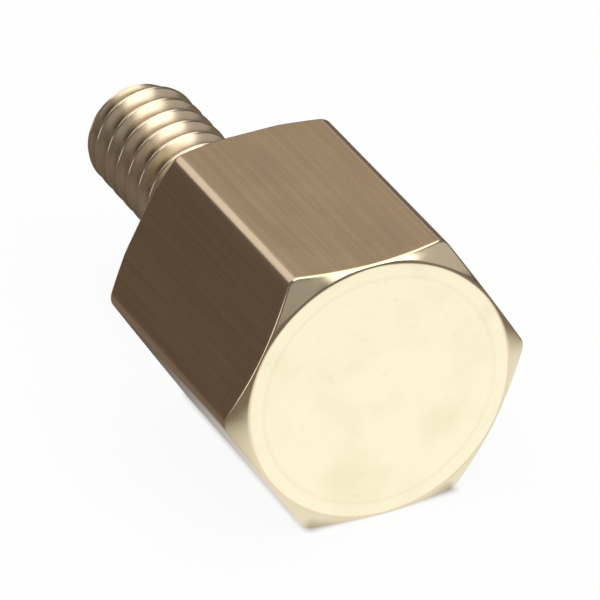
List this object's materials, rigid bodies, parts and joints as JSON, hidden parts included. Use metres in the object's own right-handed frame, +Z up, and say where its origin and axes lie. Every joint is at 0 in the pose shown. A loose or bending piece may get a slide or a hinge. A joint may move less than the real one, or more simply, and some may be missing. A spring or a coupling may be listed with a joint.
{
  "type": "hexagonal thumbscrew",
  "caption": "Brass thumbscrew turned from hexagonal bar: a long hexagonal head, chamfered at both ends, on a short round threaded stud with a chamfered tip.",
  "frame": {"origin": "on the screw's axis, in the plane of the shoulder where the head meets the stud", "axes": "+Y along the screw's axis from the shoulder to the stud's tip, +Z up, with the screw lying on one flat of its head"},
  "size_m": [0.0126, 0.0238, 0.0112],
  "materials": {
    "brass": "bare drawn bar on the flats, turned end face, lightly tarnished"
  },
  "bodies": {
    "root": {"thumbscrew": "brass"}
  },
  "joints": []
}
